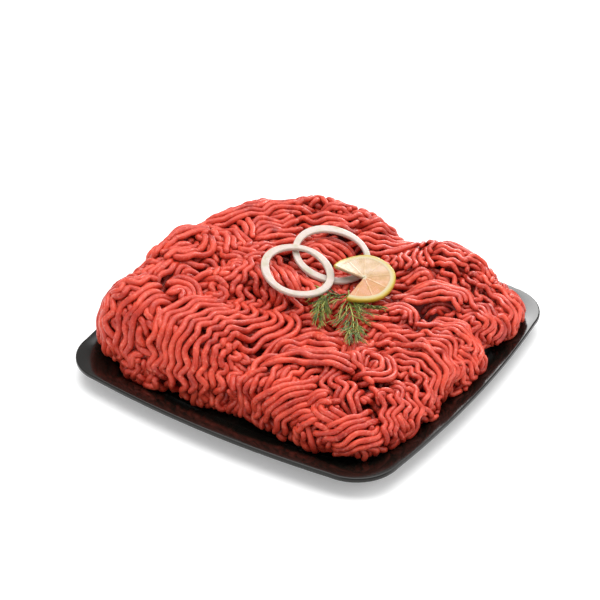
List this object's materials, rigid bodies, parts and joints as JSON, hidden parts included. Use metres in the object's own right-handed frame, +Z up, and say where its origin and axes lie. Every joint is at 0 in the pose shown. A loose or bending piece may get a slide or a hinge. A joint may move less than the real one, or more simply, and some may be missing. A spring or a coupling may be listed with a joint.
{
  "type": "meat tray pack",
  "caption": "Square flat-floored tray holding a broad heap of raw minced meat in wavy strands, dressed with onion rings, a cut slice of lemon and a sprig of dill.",
  "frame": {"origin": "middle of the tray's underside, on the surface that it stands on", "axes": "+Z up out of the tray; +X and +Y square to the tray's sides, with the heap's taller half towards -X"},
  "size_m": [0.3136, 0.3136, 0.079],
  "materials": {
    "tray": "glossy black moulded melamine",
    "meat": "raw minced meat, moist, salmon red with paler highlights",
    "onion": "raw white onion, translucent and slightly wet",
    "lemon": "fresh lemon flesh, pith and yellow rind, wet",
    "dill": "fresh dill, soft green, matt"
  },
  "bodies": {
    "root": {"tray": "tray", "mince_heap": "meat", "onion_ring_front": "onion", "onion_ring_back": "onion", "lemon_slice": "lemon", "dill_sprig": "dill"}
  },
  "joints": []
}
